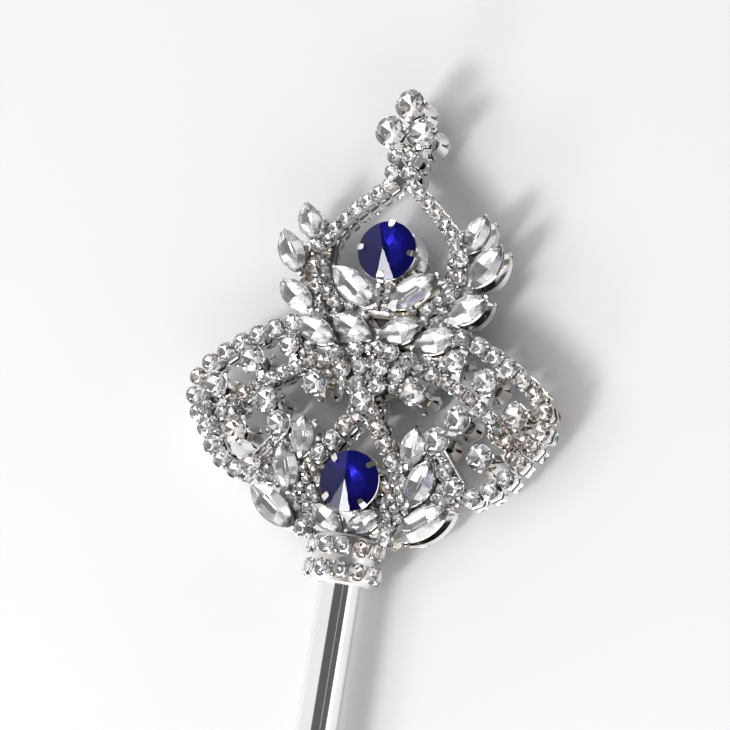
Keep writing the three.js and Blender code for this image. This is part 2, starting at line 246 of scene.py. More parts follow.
def round_cut(mains, crown=0.40, girdle=0.08, point=0.74):
    """A round stone of radius 1 with its girdle's foot at height 0."""
    stone = bmesh.new()
    bmesh.ops.create_cone(stone, cap_ends=True, segments=2 * mains, radius1=1, radius2=1,
                          depth=crown + point)
    bmesh.ops.translate(stone, vec=(0, 0, (crown - point) / 2), verts=stone.verts)
    main, star, under = radians(36), radians(21), radians(23)
    for k in range(mains):
        for slope, turn, reach, height in (
            (main, k, 0.99, girdle),
            (star, k + 0.5, 0.62, crown),
        ):
            angle = turn / mains * tau
            out = Vector((cos(angle), sin(angle), 0))
            ground(stone, out * sin(slope) + Vector((0, 0, cos(slope))),
                   out * reach + Vector((0, 0, height)))
        angle = k / mains * tau
        out = Vector((cos(angle), sin(angle), 0))
        ground(stone, out * sin(under) - Vector((0, 0, cos(under))), out * 0.985)
    return cut_stone(stone, "round_pattern")


def claw(reach, width, sink, rise, lean, thickness, bends=((0.4, 0.95), (0.6, 0.72))):
    """A claw at +X that reaches from sink below the girdle to rise above it, then leans in."""
    post = bmesh.new()
    bmesh.ops.create_cube(post, size=1)
    bmesh.ops.scale(post, vec=(thickness, width, sink + rise), verts=post.verts)
    bmesh.ops.translate(post, vec=(reach, 0, (rise - sink) / 2), verts=post.verts)
    top = max(post.faces, key=lambda face: face.calc_center_median().z)
    for share, narrow in bends:
        top = bmesh.ops.extrude_discrete_faces(post, faces=[top])["faces"][0]
        middle = Matrix.Translation(-top.calc_center_median())
        bmesh.ops.scale(post, vec=(1, narrow, 1), verts=top.verts, space=middle)
        bmesh.ops.rotate(post, cent=top.calc_center_median(), verts=top.verts,
                         matrix=Matrix.Rotation(radians(-64 / len(bends)), 3, "Y"))
        bmesh.ops.translate(post, vec=(-lean * share, 0, lean * (1 - share) * 0.55),
                            verts=top.verts)
    return as_pattern(post, "claw_pattern")


def round_cup(radius, depth, sides, wall=0.13, foot=0.72, width=0.42, thickness=0.2,
              bends=((0.4, 0.95), (0.6, 0.72))):
    """A cup with four claws whose mouth lies just under a stone of that radius."""
    cup = bmesh.new()
    bmesh.ops.create_cone(cup, cap_ends=True, segments=sides, radius1=radius * foot,
                          radius2=radius - 0.02, depth=depth)
    bmesh.ops.translate(cup, vec=(0, 0, -depth / 2 - 0.04), verts=cup.verts)
    mouth = max(cup.faces, key=lambda face: face.calc_center_median().z)
    bmesh.ops.inset_individual(cup, faces=[mouth], thickness=wall)
    floor = bmesh.ops.extrude_discrete_faces(cup, faces=[mouth])["faces"][0]
    bmesh.ops.translate(cup, vec=(0, 0, -depth * 0.85), verts=floor.verts)
    bmesh.ops.scale(cup, vec=(foot - 0.15, foot - 0.15, 1), verts=floor.verts)
    post = claw(radius + thickness / 2, width, depth * 0.6, radius * 0.08, radius * 0.24,
                thickness, bends)
    bmesh.ops.recalc_face_normals(cup, faces=cup.faces)
    for k in range(4):
        add_copy(cup, post, Matrix.Rotation((k + 0.5) / 4 * tau, 4, "Z"))
    return as_pattern(cup, "cup_pattern")


ONE_BEND = ((0.75, 0.8),)
seed_cut = round_cut(6)
chaton_cut = round_cut(8)
chance = random.Random(11)
WOBBLE = radians(4)


def wobble(turn):
    """A hand-set stone is turned as it comes and sits a few degrees off level."""
    tip = Matrix.Rotation(chance.uniform(-WOBBLE, WOBBLE), 4, "X")
    return tip @ Matrix.Rotation(chance.uniform(-WOBBLE, WOBBLE), 4, "Y") @ \
        Matrix.Rotation(turn, 4, "Z")


# Collar: a plated sleeve between the rod and the head, capped over the rod's end, with two
# rings of round stones in cups that stand out from it.
COLLAR_WALL, COLLAR_CAP, COLLAR_BORE, COLLAR_LENGTH = 1.9, 1.4, 5.3, 11.5
COLLAR_ROWS, COLLAR_STONES = (6.6, 12.1), 12
COLLAR_STONE, COLLAR_GIRDLE = 2.15, 8.45
sleeve_silver = silver_plate("sleeve_silver", scale=60, roughest=0.5, waviness=0.05,
                             warm=(0.5, 0.46, 0.42), smoothest=0.25)
sleeve_radius = COLLAR_BORE + COLLAR_WALL
sleeve = spun([(0, COLLAR_LENGTH - COLLAR_CAP), (COLLAR_BORE, COLLAR_LENGTH - COLLAR_CAP),
               (COLLAR_BORE, 0), (sleeve_radius - 0.4, 0), (sleeve_radius, 0.4),
               (sleeve_radius, COLLAR_LENGTH - 0.4), (sleeve_radius - 0.4, COLLAR_LENGTH),
               (0, COLLAR_LENGTH)], 72)
sleeve.transform(on_row @ Matrix.Translation((0, COLLAR_BOTTOM, 0)) @ along_rod)
finished(sleeve, "collar_sleeve", [sleeve_silver], "silver", ["collar"], smooth=35)
collar_cup = round_cup(COLLAR_STONE, COLLAR_GIRDLE - sleeve_radius + 0.2, 14, foot=0.85,
                       width=0.5)
cups, stones = bmesh.new(), bmesh.new()
for row in COLLAR_ROWS:
    for k in range(COLLAR_STONES):
        seat = Matrix.Translation((0, row, 0)) @ Matrix.Rotation(
            (k + 0.5) / COLLAR_STONES * tau, 4, "Y") @ Matrix.Translation(
            (0, 0, COLLAR_GIRDLE))
        add_copy(cups, collar_cup, on_row @ seat)
        add_copy(stones, chaton_cut,
                 on_row @ seat @ wobble(k) @ Matrix.Scale(COLLAR_STONE, 4))
finished(cups, "collar_cups", [cup_silver], "silver", smooth=35)
finished(stones, "collar_stones", [crystal, foil], "crystal")


# Openwork: each panel is soldered up from flat bars and narrow strands that follow the lobes,
# the vine and the arches, with small plates where the leaves' roots meet.
FACES = {"front": Matrix.Identity(4), "back": Matrix.Rotation(pi, 4, "Y")}
HALF_JOINT, BAR_TOP = 0.15, 1.65
LOBE_EDGE = ((19.6, 64.9), (26.5, 62.4), (35.5, 57.3), (43.2, 50.2), (43.8, 43.2),
             (39.6, 36.6), (35.4, 30.4), (27.8, 26.2))
LOBE_VINE = ((7, 57), (16, 54.8), (24, 51), (31, 46.2), (36, 41), (38.6, 36))
UPPER_ARCH = ((1.6, 101.4), (6.9, 96.8), (12.4, 91.6), (15.8, 87), (16.6, 80), (14.6, 73),
              (10.6, 69.2))
LOWER_ARCH = ((0.6, 46.6), (3, 42.4), (5.7, 38.5), (9.4, 33.4))
BRACE = ((20.4, 37), (28.4, 27))
CROWN_ROOTS = ((15, 89.5), (21, 87), (22.6, 80), (20, 71), (14, 70))
BOUGH_ROOTS = ((7.4, 17), (14.5, 17), (18.6, 23), (17.6, 32.5), (13.6, 36), (8.6, 34))
PAVEMENT_EDGE = ((0, 47.5), (4, 51.2), (16, 51.2), (20, 60))
WAIST_EDGE = ((10, 61), (14, 66.5), (9.5, 71))
WAIST_HOLE = ((0, 65.2), (2.2, 67.6), (-2.2, 67.6))
LOWER_BLUE, UPPER_BLUE, OGEE, FINIAL_Y = 27.6, 83.4, 46.6, 112.8
LOBE_HIGH, LOBE_TIP, LOBE_LOW = (29.5, 54), (38, 46.8), (31.1, 36.4)
VINE_HIGH, VINE_LOW, HANGING = (24.3, 44.6), (20, 39.1), (12.5, 49.8)
SHOULDER, CORNER = (21, 58.5), (25.6, 28.8)


def mirrored(points, side):
    """The right side's points, or the left side's for a side of -1."""
    return [Vector((x * side, y, 0)) for x, y in points]


def smooth_path(points, pitch):
    """Even steps, about one pitch long, along a smooth curve through the points."""
    fine = []
    for k in range(len(points) - 1):
        a, b, c, d = (points[max(k - 1, 0)], points[k], points[k + 1],
                      points[min(k + 2, len(points) - 1)])
        for step in range(24):
            t = step / 24
            fine.append((b * 2 + (c - a) * t + (a * 2 - b * 5 + c * 4 - d) * t * t
                         + (b * 3 - a - c * 3 + d) * t ** 3) / 2)
    fine.append(points[-1])
    lengths = [0]
    for a, b in zip(fine, fine[1:]):
        lengths.append(lengths[-1] + (b - a).length)
    count = max(round(lengths[-1] / pitch), 1)
    path, k = [], 0
    for step in range(count + 1):
        goal = lengths[-1] * step / count
        while k < len(fine) - 2 and lengths[k + 1] < goal:
            k += 1
        share = (goal - lengths[k]) / (lengths[k + 1] - lengths[k])
        path.append(fine[k].lerp(fine[k + 1], min(share, 1)))
    return path


def tangent(path, k):
    return (path[min(k + 1, len(path) - 1)] - path[max(k - 1, 0)]).normalized()


def add_bar(shape, path, width, bottom, top, shift=0):
    """A flat bar along a path, soldered flat."""
    across = [Vector((-tangent(path, k).y, tangent(path, k).x, 0)) for k in range(len(path))]
    near = path[0] + across[0] * (shift + width / 2)
    far = path[0] + across[0] * (shift - width / 2)
    edge = shape.edges.new([shape.verts.new(near), shape.verts.new(far)])
    for k in range(1, len(path)):
        edge = next(g for g in bmesh.ops.extrude_edge_only(shape, edges=[edge])["geom"]
                    if isinstance(g, bmesh.types.BMEdge))
        ends = sorted(edge.verts, key=lambda vert: (vert.co - near).length)
        near = path[k] + across[k] * (shift + width / 2)
        far = path[k] + across[k] * (shift - width / 2)
        ends[0].co, ends[1].co = near, far
    thicken(shape, bottom, top)


def thicken(shape, bottom, top):
    """Gives thickness to the flat sheet that still lies at height 0."""
    sheet = [face for face in shape.faces if all(abs(v.co.z) < 1e-5 for v in face.verts)]
    verts = list({vert for face in sheet for vert in face.verts})
    bmesh.ops.recalc_face_normals(shape, faces=sheet)
    raised = bmesh.ops.solidify(shape, geom=sheet, thickness=top - bottom)["geom"]
    new = {vert for face in raised if isinstance(face, bmesh.types.BMFace)
           for vert in face.verts}
    body = set(verts) | new
    low = min(vert.co.z for vert in body)
    bmesh.ops.translate(shape, vec=(0, 0, bottom - low), verts=list(body))


def add_sheet(shape, outline, bottom, top):
    """A flat plate with that outline."""
    shape.faces.new([shape.verts.new(point) for point in outline])
    thicken(shape, bottom, top)


# The frame's warm clouds are painted warm reflection.
frame_silver = silver_plate("frame_silver", scale=60, roughest=0.14, waviness=0.04,
                            warm=(0.88, 0.74, 0.62))
solder_grey = silver_plate("solder_grey", scale=120, roughest=0.5, waviness=0.3,
                           warm=(0.26, 0.21, 0.17))
solder_grey.node_tree.nodes["Color Ramp"].color_ramp.elements[1].color = (0.36, 0.35, 0.35, 1)
LOBE_BARS = (((33.4, 58.4), LOBE_HIGH, (28, 48.6), VINE_HIGH, VINE_LOW, (15, 35)),
             ((33.2, 44.6), LOBE_TIP, (43.4, 47.2)), ((38.4, 38), LOBE_LOW),
             ((22.4, 63.4), SHOULDER, (20.6, 52.8)))
STRANDS = ((LOBE_EDGE, 2.0, 1.7), (LOBE_VINE, 1.8, 1.62), (UPPER_ARCH, 1.8, 1.54),
           (LOWER_ARCH, 2.0, 1.74), (BRACE, 2.0, 1.66))
# Bars and plates that cross are made this much lower or higher, so that no faces coincide.
STEP = 0.03
for face, turned in FACES.items():
    bars, plates = bmesh.new(), bmesh.new()
    for side in (1, -1):
        for points, width, top in STRANDS:
            add_bar(bars, smooth_path(mirrored(points, side), 1.4), width, HALF_JOINT, top)
        for k, points in enumerate(LOBE_BARS):
            add_bar(bars, mirrored(points, side), 2.0, HALF_JOINT + STEP, BAR_TOP - STEP * k)
        for outline in (CROWN_ROOTS, BOUGH_ROOTS):
            add_sheet(plates, mirrored(outline, side), HALF_JOINT + 2 * STEP, BAR_TOP - 0.4)
        # The brace has two thin raised walls along its stones.
        for shift in (-1.1, 1.1):
            add_bar(bars, mirrored(BRACE, side), 0.3, 0.6, 3.2, shift)
    pavement = mirrored(PAVEMENT_EDGE, 1) + mirrored(PAVEMENT_EDGE[1:], -1)[::-1]
    add_sheet(plates, pavement, HALF_JOINT + STEP, BAR_TOP - 0.5)
    # The waist plate is made in two halves, which leave a small hole at the middle.
    for side in (1, -1):
        hole = mirrored(((0, WAIST_EDGE[0][1]), (0, WAIST_HOLE[0][1]), WAIST_HOLE[1],
                         (0, WAIST_HOLE[1][1] + 0.01), (0, WAIST_EDGE[-1][1])), side)
        add_sheet(plates, mirrored(WAIST_EDGE, side) + hole[::-1], HALF_JOINT + 3 * STEP,
                  BAR_TOP - 0.45)
    # Short bars run across and up the middle, from the collar to the finial.
    for k, (a, b, width) in enumerate((
        ((-8, 16.9), (8, 16.9), 3), ((0, 15.4), (0, LOWER_BLUE), 5),
        ((-9.5, LOWER_BLUE), (9.5, LOWER_BLUE), 2.2), ((0, 68.4), (0, UPPER_BLUE), 4),
        ((0, 58.8), (0, 65), 5), ((0, 100.5), (0, FINIAL_Y + 7), 3),
        ((-4, FINIAL_Y), (4, FINIAL_Y), 3),
    )):
        add_bar(bars, mirrored((a, b), 1), width, HALF_JOINT + 2 * STEP, BAR_TOP - STEP * k)
    for shape, name, finish, stands_for in (
        (bars, "openwork_", frame_silver, ["panel_" + face]),
        (plates, "root_plates_", solder_grey, ()),
    ):
        shape.transform(on_row @ turned)
        finished(shape, name + face, [finish], "silver", stands_for, smooth=35)


# Chains: rows of small round stones in linked cups along the lobes' edges, the vine, the
# arches, the brace and the neck, with a few more of the same size at the waist and the roots.
SEED, VINE, ARCH, LINK, NECK = 1.3, 1.78, 1.77, 2.18, 1.9


def box_cup(radius, depth, width, thickness):
    """A square cup of a chain: a panel is pressed into each side, a claw bends at each corner."""
    cup = bmesh.new()
    bmesh.ops.create_cube(cup, size=1)
    bmesh.ops.scale(cup, vec=(1.84 * radius, 1.84 * radius, depth), verts=cup.verts)
    bmesh.ops.translate(cup, vec=(0, 0, -depth / 2 - 0.04), verts=cup.verts)
    upright = [edge for edge in cup.edges if edge.verts[0].co.z * edge.verts[1].co.z < 0
               or abs(edge.verts[0].co.z - edge.verts[1].co.z) > depth / 2]
    bmesh.ops.bevel(cup, geom=upright, offset=radius * 0.3, offset_type="OFFSET", segments=1,
                    profile=0.5, affect="EDGES", material=-1)
    walls = [face for face in cup.faces
             if abs(face.normal.z) < 0.5 and face.calc_area() > radius * depth * 0.8]
    bmesh.ops.inset_individual(cup, faces=walls, thickness=radius * 0.16, depth=-radius * 0.12)
    mouth = max(cup.faces, key=lambda face: face.calc_center_median().z)
    bmesh.ops.inset_individual(cup, faces=[mouth], thickness=radius * 0.1)
    floor = bmesh.ops.extrude_discrete_faces(cup, faces=[mouth])["faces"][0]
    bmesh.ops.translate(cup, vec=(0, 0, -radius * 0.6), verts=floor.verts)
    bmesh.ops.scale(cup, vec=(0.7, 0.7, 1), verts=floor.verts)
    bmesh.ops.recalc_face_normals(cup, faces=cup.faces)
    post = claw(radius + thickness / 2, width, depth * 0.4, radius * 0.08, radius * 0.24,
                thickness, ONE_BEND)
    for k in range(4):
        add_copy(cup, post, Matrix.Rotation((k + 0.5) / 4 * tau, 4, "Z"))
    return as_pattern(cup, "box_pattern")


seed_cup = round_cup(SEED, 1.0, 7, wall=0.1, width=0.36, thickness=0.16, bends=ONE_BEND)
vine_cup = box_cup(VINE, 2.7, 0.4, 0.18)
arch_cup = box_cup(ARCH, 2.7, 0.4, 0.18)
link_cup = box_cup(LINK, 3.0, 0.46, 0.2)
spot_cup = round_cup(LINK, 1.9, 10, bends=ONE_BEND)
neck_cup = box_cup(NECK, 4.2, 0.42, 0.2)
taken = []


def along(points, pitch, side):
    """Places and turns of cups set at an even pitch along a curve, both ends left free."""
    path = smooth_path(mirrored(points, side), pitch / 2)
    for k in range(1, len(path), 2):
        ahead = tangent(path, k)
        yield path[k], atan2(ahead.y, ahead.x)


def add_set(cups, stones, cup, cut, radius, place, girdle, turn):
    """Sets one stone in its cup, and notes the room that it takes."""
    seat = Matrix.Translation((place[0], place[1], girdle))
    add_copy(cups, cup, seat @ Matrix.Rotation(turn, 4, "Z"))
    add_copy(stones, cut, seat @ wobble(turn + chance.uniform(0, 1)) @
             Matrix.Scale(radius, 4))
    taken.append((place[0], place[1], radius))


def finish_set(cups, stones, name, turned, stands_for=()):
    """Makes one piece of a group's cups and one of its stones, on the panel's own face."""
    for shape, part, finishes, slot, nodes in (
        (cups, "_cups", [cup_silver], "silver", ()),
        (stones, "_stones", [crystal, foil], "crystal", stands_for),
    ):
        shape.transform(on_row @ turned)
        finished(shape, name + part, finishes, slot, nodes)


# Each chain has its curve, pitch, cup, cut, stone radius and girdle height.
CHAINS = (
    ("edge_chain", LOBE_EDGE, 4.5, link_cup, chaton_cut, LINK, 3.6),
    ("vine", LOBE_VINE, 3.6, vine_cup, seed_cut, VINE, 3.2),
    ("upper_arch", UPPER_ARCH, 3.3, arch_cup, seed_cut, ARCH, 3.2),
    ("lower_arch", LOWER_ARCH, 4.5, link_cup, chaton_cut, LINK, 3.6),
    ("brace", BRACE, 2.2, seed_cup, seed_cut, 0.9, 2.9),
)
CLUSTERS = (
    ("waist_cluster", spot_cup, chaton_cut, LINK, 3.6,
     ((2.4, 55.3), (4.5, 59.2), (7, 54), (2.5, 51), (9.2, 57.6))),
    ("root_cluster", spot_cup, chaton_cut, LINK, 3.4,
     ((18.2, 88), (18.3, 83.4), (18.6, 78.6), (17, 74.2), (15.2, 66.9))),
    ("bough_cluster", spot_cup, chaton_cut, LINK, 3.3, ((10.6, 15.6), (22.5, 32.3))),
    ("tip_cluster", spot_cup, chaton_cut, LINK, 3.5, ((40.6, 41.4), (33.3, 42.6))),
    ("stem_cluster", seed_cup, seed_cut, SEED, 3.0, ((1.2, 72.6), (1.1, 70.1), (1.2, 75))),
    ("neck", neck_cup, chaton_cut, NECK, 5.0, ((2.05, 102.9), (2.05, 106.9))),
)
for face, turned in FACES.items():
    for name, points, pitch, cup, cut, radius, girdle in CHAINS:
        cups, stones = bmesh.new(), bmesh.new()
        for side in (1, -1):
            for place, turn in along(points, pitch, side):
                add_set(cups, stones, cup, cut, radius, place, girdle, turn)
        finish_set(cups, stones, f"{name}_{face}", turned)
    for name, cup, cut, radius, girdle, places in CLUSTERS:
        cups, stones = bmesh.new(), bmesh.new()
        for side in (1, -1):
            for x, y in places:
                turn = chance.uniform(0, 1.5)
                add_set(cups, stones, cup, cut, radius, (x * side, y), girdle, turn)
        finish_set(cups, stones, f"{name}_{face}", turned)


# Lobe stones: larger round stones in deep claw cups, hung in the openings of the lobes.
LOBE, LOBE_GIRDLE, LITTLE, LITTLE_GIRDLE = 3.2, 5.85, 2.6, 4.85
lobe_cup = round_cup(LOBE, 3.6, 20, wall=0.16, foot=0.62, width=0.75, thickness=0.26)
little_cup = round_cup(LITTLE, 2.8, 16, wall=0.15, foot=0.62, width=0.65, thickness=0.24)
LOBE_PLACES = (LOBE_HIGH, LOBE_TIP, LOBE_LOW, VINE_HIGH, VINE_LOW, HANGING)
for face, turned in FACES.items():
    cups, stones = bmesh.new(), bmesh.new()
    add_set(cups, stones, lobe_cup, chaton_cut, LOBE, (0, OGEE), LOBE_GIRDLE, 0.2)
    for side in (1, -1):
        for x, y in LOBE_PLACES:
            add_set(cups, stones, lobe_cup, chaton_cut, LOBE, (x * side, y), LOBE_GIRDLE,
                    chance.uniform(0, 1.5))
        for x, y in (SHOULDER, CORNER):
            add_set(cups, stones, little_cup, chaton_cut, LITTLE, (x * side, y), LITTLE_GIRDLE,
                    chance.uniform(0, 1.5))
    finish_set(cups, stones, "lobe_" + face, turned)


# Finial: three great round stones in claw cups stand in a triangle at the head's tip.
GREAT, GREAT_GIRDLE, FINIAL_STEP = 3.75, 5.4, 8.0
great_cup = round_cup(GREAT, 3.3, 28, wall=0.16, foot=0.6, width=0.85, thickness=0.3)
FINIAL = {"left": (-FINIAL_STEP / 2, FINIAL_Y), "right": (FINIAL_STEP / 2, FINIAL_Y),
          "top": (0, FINIAL_Y + FINIAL_STEP * sin(pi / 3))}
for face, turned in FACES.items():
    for spot, place in FINIAL.items():
        cups, stones = bmesh.new(), bmesh.new()
        add_set(cups, stones, great_cup, chaton_cut, GREAT, place, GREAT_GIRDLE, pi / 4)
        finish_set(cups, stones, f"finial_{spot}_{face}_set", turned,
                   [f"finial_{spot}_{face}"])


# Leaves: pointed oval crystals with a foil back, each in a thin pressed shell with a claw at
# both tips. They fan out from the crown, the waist and the bough, and cup the blue stones.
def oval_arcs(length, width, parts):
    """Middle points and outward normals of equal parts of the two arcs of a pointed oval."""
    half, depth = length / 2, width / 2
    radius = (half * half + depth * depth) / (2 * depth)
    sweep = asin(half / radius)
    for side in (1, -1):
        for k in range(parts):
            angle = sweep * (1 - (2 * k + 1) / parts)
            yield (Vector((side * radius * sin(angle),
                           side * (radius * cos(angle) - radius + depth), 0)),
                   Vector((side * sin(angle), side * cos(angle), 0)))


def raised_oval(length, width, parts, bottom, top):
    """A plate with the outline of a pointed oval between two heights."""
    half, depth = length / 2, width / 2
    radius = (half * half + depth * depth) / (2 * depth)
    sweep = asin(half / radius)
    shape = bmesh.new()
    rim = [shape.verts.new((side * radius * sin(angle),
                            side * (radius * cos(angle) - radius + depth), bottom))
           for side in (1, -1) for angle in (sweep * (1 - 2 * k / parts) for k in range(parts))]
    base = shape.faces.new(rim)
    lid = bmesh.ops.extrude_discrete_faces(shape, faces=[base])["faces"][0]
    bmesh.ops.translate(shape, vec=(0, 0, top - bottom), verts=lid.verts)
    bmesh.ops.contextual_create(
        shape, geom=[edge for edge in shape.edges if edge.is_boundary])
    bmesh.ops.recalc_face_normals(shape, faces=shape.faces)
    return shape


def oval_cut(length, width, crown, point, parts):
    """A pointed oval stone: a narrow table, two rows of facets round it and one behind."""
    stone = raised_oval(length, width, 8, -point, crown)
    up, main, star, under = Vector((0, 0, 1)), radians(38), radians(19), radians(21)
    for place, out in oval_arcs(length, width, 3):
        ground(stone, out * sin(main) + up * cos(main), place + up * 0.2)
    for place, out in oval_arcs(length, width, parts):
        ground(stone, out * sin(star) + up * cos(star), place * 0.5 + up * (crown * 0.92))
    for place, out in oval_arcs(length, width, parts):
        ground(stone, out * sin(under) - up * cos(under), place)
    return cut_stone(stone, "oval_pattern")


def oval_cup(length, width, depth, wall=0.16):
    """A pressed shell just under a stone, with a flange round its foot and a claw at each tip."""
    cup = raised_oval(length - 0.04, width - 0.04, 12, -depth, -0.04)
    foot = min(cup.faces, key=lambda face: face.calc_center_median().z)
    bmesh.ops.scale(cup, vec=(0.88, 0.76, 1), verts=foot.verts)
    mouth = max(cup.faces, key=lambda face: face.calc_center_median().z)
    bmesh.ops.inset_individual(cup, faces=[mouth], thickness=wall)
    floor = bmesh.ops.extrude_discrete_faces(cup, faces=[mouth])["faces"][0]
    bmesh.ops.translate(cup, vec=(0, 0, -depth * 0.9), verts=floor.verts)
    bmesh.ops.scale(cup, vec=(0.8, 0.6, 1), verts=floor.verts)
    bmesh.ops.recalc_face_normals(cup, faces=cup.faces)
    flange = as_pattern(raised_oval(length - 0.5, width - 0.5, 12, -depth - 0.2, -depth + 0.25),
                        "flange_pattern")
    add_copy(cup, flange, Matrix.Identity(4))
    post = claw(length / 2 + 0.1, 0.8, depth * 0.6, 0.3, 1.15, 0.26)
    for turn in (0, pi):
        add_copy(cup, post, Matrix.Rotation(turn, 4, "Z"))
    return as_pattern(cup, "oval_cup_pattern")


LEAF_GIRDLE, FOOT_GIRDLE, SHELL_FOOT, LEAF_POINT = 4.4, 4.1, 2.2, 1.9
SHELL_RIM, SHELL_SIDE = 0.45, 0.1
SIZES = {"short": (10.8, 5.9, 6.0), "leaf": (12, 6.4, 6.0), "broad": (13, 6.5, 6.4),
         "petal": (15.4, 7, 6.4), "wing": (16, 6.8, 6.6), "foot": (10.4, 5.2, 5.6)}
oval_patterns = {}
for size, (length, width, top) in SIZES.items():
    girdle = FOOT_GIRDLE if size == "foot" else LEAF_GIRDLE
    plan = length - SHELL_RIM, width - SHELL_SIDE
    oval_patterns[size] = (oval_cut(*plan, top - girdle, LEAF_POINT, 3 if length > 13 else 2),
                           oval_cup(*plan, girdle - SHELL_FOOT), girdle)


def from_tip(x, y, degrees, size):
    """A leaf's middle, slope and size, from the place of its lower tip."""
    slope = radians(degrees)
    reach = SIZES[size][0] / 2
    return x + reach * cos(slope), y + reach * sin(slope), slope, size


PETAL_SLOPE, PETAL_REACH, PETAL_SLIDE = radians(38), 14.6 / 2 + 0.3 + 0.7 + 3.5, 0.2
LEAVES = {
    "crown_leaf_high": from_tip(19.2, 84.2, 68, "short"),
    "crown_leaf_middle": from_tip(21.4, 76, 59, "broad"),
    "crown_leaf_low": from_tip(16.8, 67.3, 37, "leaf"),
    "lotus_petal": (PETAL_REACH * sin(PETAL_SLOPE) + PETAL_SLIDE * cos(PETAL_SLOPE),
                    UPPER_BLUE - PETAL_REACH * cos(PETAL_SLOPE)
                    + PETAL_SLIDE * sin(PETAL_SLOPE), PETAL_SLOPE, "petal"),
    "waist_leaf_inner": from_tip(0.5, 61.9, 24, "leaf"),
    "waist_leaf_outer": from_tip(9.6, 60.4, 24, "leaf"),
    "bough_leaf_high": from_tip(13.4, 31.6, 84, "short"),
    "bough_leaf_middle": from_tip(14.9, 22.8, 72, "broad"),
    "bough_leaf_wing": from_tip(12.3, 14.8, 37, "wing"),
    "foot_leaf": from_tip(0.4, 15.4, 35, "foot"),
}
for face, turned in FACES.items():
    for name, (x, y, slope, size) in LEAVES.items():
        cut, cup, girdle = oval_patterns[size]
        length, width = SIZES[size][:2]
        for hand, side in (("right", 1), ("left", -1)):
            seat = Matrix.Translation((x * side, y, girdle)) @ Matrix.Rotation(
                slope if side > 0 else pi - slope, 4, "Z")
            for part, pattern, finishes, slot, stands_for in (
                ("_stone", cut, [crystal, leaf_foil], "crystal", [f"{name}_{hand}_{face}"]),
                ("_shell", cup, [cup_silver], "silver", ()),
            ):
                shape = bmesh.new()
                add_copy(shape, pattern, on_row @ turned @ seat)
                finished(shape, f"{name}_{hand}_{face}{part}", finishes, slot, stands_for)
            for share, reach in ((0, 0.5), (0.25, 0.36), (-0.25, 0.36)):
                spot = seat @ Vector((length * share, 0, 0))
                taken.append((spot.x, spot.y, width * reach))


# Paving: the smallest stones, in shallow cups soldered side by side, fill what is left at the
# waist, round the leaves' roots and beside the lower blue stone.
def inside(outline, x, y):
    """Whether a point lies within a closed outline."""
    within = False
    for (ax, ay), (bx, by) in zip(outline, outline[1:] + outline[:1]):
        if (ay > y) != (by > y) and x < (bx - ax) * (y - ay) / (by - ay) + ax:
            within = not within
    return within


def packed(outline, side, pitch, radius):
    """Places in staggered rows inside an outline, wherever nothing larger stands."""
    low, high = min(y for x, y in outline), max(y for x, y in outline)
    left, right = min(x for x, y in outline), max(x for x, y in outline)
    for row in range(int((high - low) / (pitch * 0.87)) + 1):
        for step in range(int((right - left) / pitch) + 2):
            x = left + (step + row % 2 / 2) * pitch + chance.uniform(-0.2, 0.2)
            y = low + row * pitch * 0.87 + chance.uniform(-0.2, 0.2)
            if inside(outline, x, y) and all(
                hypot(x * side - spot[0], y - spot[1]) > spot[2] + radius * 0.35
                for spot in taken
            ):
                yield x * side, y


PAVING_PITCH, PAVING_GIRDLE, PAVING_DRIFT = 2.55, 2.9, 0.25
PAVING = (
    ("waist_paving", ((0, 48.5), (5, 50.2), (16, 50.5), (22, 56), (23, 63.5), (9, 62), (0, 61))),
    ("root_paving", ((14.5, 68), (20, 70), (22, 76), (22.5, 84), (19, 91), (16, 89), (17, 74))),
    ("lotus_paving", ((2.6, 67.4), (13, 73), (17, 69), (21, 66), (12, 65.5), (7, 66.3))),
    ("bough_paving", ((7.6, 16), (13, 17), (16, 23), (14, 30), (12, 38), (9, 35), (8.6, 30.5))),
    ("brace_paving", ((17, 24), (24, 25), (26, 29), (20.5, 37), (17, 36))),
    ("tip_paving", ((35.5, 50.5), (42, 50.5), (42.4, 42), (38.4, 38), (32.5, 40.5), (34, 45))),
)
for face, turned in FACES.items():
    room_taken = taken[:]
    for name, outline in PAVING:
        cups, stones = bmesh.new(), bmesh.new()
        for side in (1, -1):
            for place in packed(outline, side, PAVING_PITCH, SEED):
                girdle = PAVING_GIRDLE + chance.uniform(-PAVING_DRIFT, PAVING_DRIFT)
                add_set(cups, stones, seed_cup, seed_cut, SEED, place, girdle,
                        chance.uniform(0, 1.5))
        finish_set(cups, stones, f"{name}_{face}", turned)
    taken[:] = room_taken


# Blue stones: deep blue glass cones with a satin foil back. The upper one has wider facets.
# Each lies in a spun silver dish, over its thin rim, under four claws with rounded ends.
blue_glass = bpy.data.materials.new("deep_blue_glass")
blue_glass.use_nodes = True
blue_shader = blue_glass.node_tree.nodes["Principled BSDF"]
blue_shader.inputs["Base Color"].default_value = (0.17, 0.15, 0.8, 1)
blue_shader.inputs["Roughness"].default_value = 0.0
blue_shader.inputs["IOR"].default_value = 1.42
blue_shader.inputs["Transmission Weight"].default_value = 1
blue_foil = bpy.data.materials.new("blue_foil")
blue_foil.use_nodes = True
blue_foil_shader = blue_foil.node_tree.nodes["Principled BSDF"]
blue_foil_shader.inputs["Metallic"].default_value = 0.6
blue_foil_shader.inputs["Roughness"].default_value = 0.2
blue_foil_shader.inputs["Base Color"].default_value = (0.025, 0.025, 0.24, 1)
BLUE_RADIUS, BLUE_GIRDLE, BLUE_TOP, BLUE_POINT, BLUE_BAND = 7.25, 5.3, 8.3, 3.4, 0.35
BLUE_SIDES, BLUE_TURNS = {"lower": 16, "upper": 10}, {"lower": radians(-89), "upper": radians(-84)}
